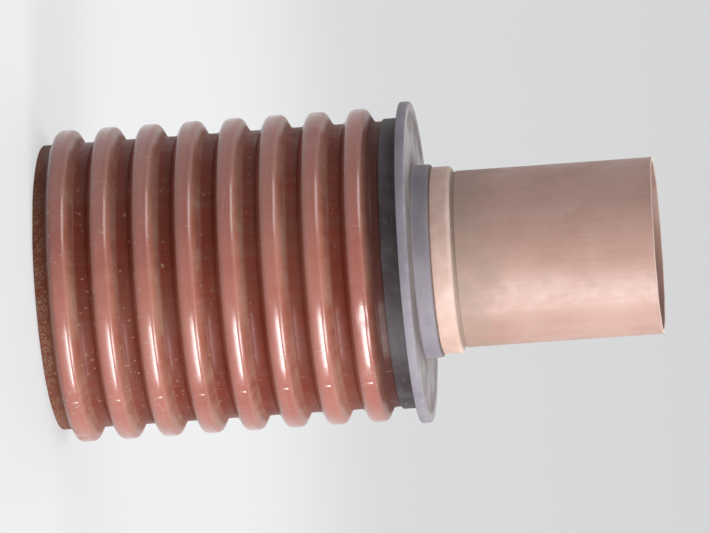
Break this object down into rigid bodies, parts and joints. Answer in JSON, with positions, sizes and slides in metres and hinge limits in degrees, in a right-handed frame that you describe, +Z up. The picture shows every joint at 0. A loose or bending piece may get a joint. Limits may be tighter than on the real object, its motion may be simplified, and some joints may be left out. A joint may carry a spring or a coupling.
{
  "type": "corrugated drain riser pipe",
  "caption": "Short ribbed plastic drain riser standing on end, with a flat seal collar on top and a smooth narrower neck pipe rising through it.",
  "frame": {"origin": "middle of the riser's foot, on the ground", "axes": "+Z up along the pipes' shared axis; X and Y lie in the foot's plane, and no direction there is special"},
  "size_m": [0.3644, 0.3644, 0.6888],
  "materials": {
    "riser_plastic": "glossy brick red, dusty",
    "collar_plastic": "matt grey, dusty",
    "neck_plastic": "faded salmon, satin"
  },
  "bodies": {
    "root": {"riser_pipe": "riser_plastic", "seal_collar": "collar_plastic", "neck_pipe": "neck_plastic"}
  },
  "joints": []
}
